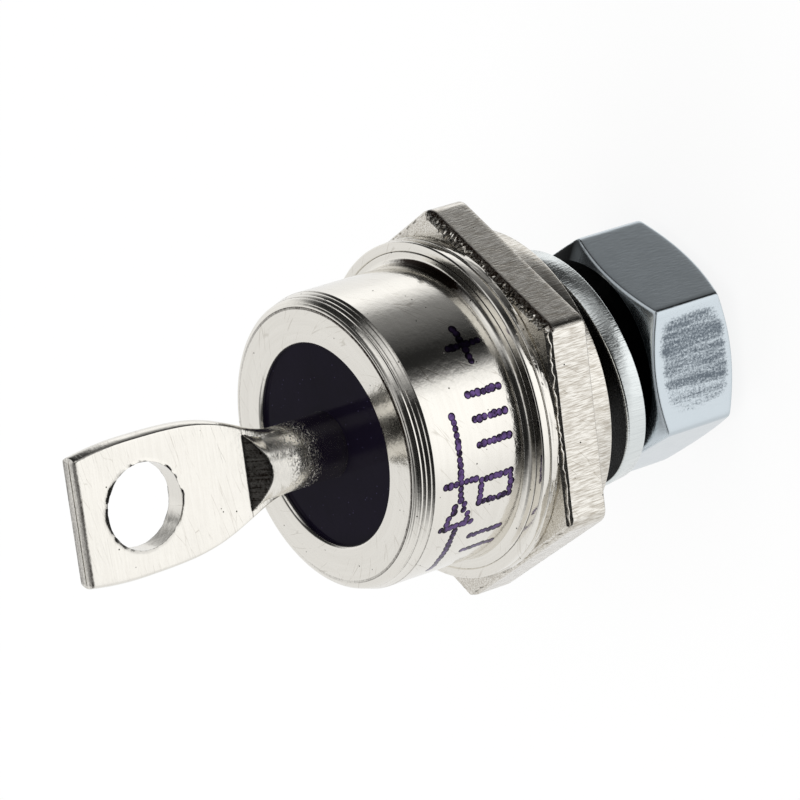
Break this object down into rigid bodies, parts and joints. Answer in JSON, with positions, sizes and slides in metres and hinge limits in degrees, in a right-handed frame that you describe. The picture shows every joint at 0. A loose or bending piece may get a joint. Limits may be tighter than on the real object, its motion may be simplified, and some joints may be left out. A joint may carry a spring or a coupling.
{
  "type": "stud diode",
  "caption": "Stud-mounted rectifier diode: hexagonal base with threaded stud, welded metal cap, glass seal and a flag terminal with a hole, shown with its lock washer and nut.",
  "frame": {"origin": "centre of the flat seating face under the hexagonal base, on the axis of the stud", "axes": "+Z along the stud axis from the nut towards the flag terminal, +X towards a corner of the hexagon and along the width of the flag"},
  "size_m": [0.0194, 0.0172, 0.0366],
  "materials": {
    "nickel_base": "nickel plate over milled copper",
    "nickel_cap": "bright nickel plate",
    "nickel_ring": "nickel plate over welded steel",
    "nickel_terminal": "nickel plate over pressed copper",
    "dark_glass": "glossy dark sealing glass",
    "zinc": "clear zinc plate",
    "solder": "soft solder",
    "molybdenum": "ground plate",
    "silicon": "polished silicon",
    "copper": "bare copper",
    "silicone": "cured silicone"
  },
  "bodies": {
    "root": {"stud_base": "nickel_base", "weld_ring": "nickel_ring", "cap": "nickel_cap", "glass_seal": "dark_glass", "terminal": "nickel_terminal", "base_solder": "solder", "lower_plate": "molybdenum", "die_solder": "solder", "silicon_die": "silicon", "contact_solder": "solder", "upper_contact": "copper", "junction_coating": "silicone", "inner_lead": "copper", "lock_washer": "zinc", "hex_nut": "zinc"}
  },
  "joints": []
}
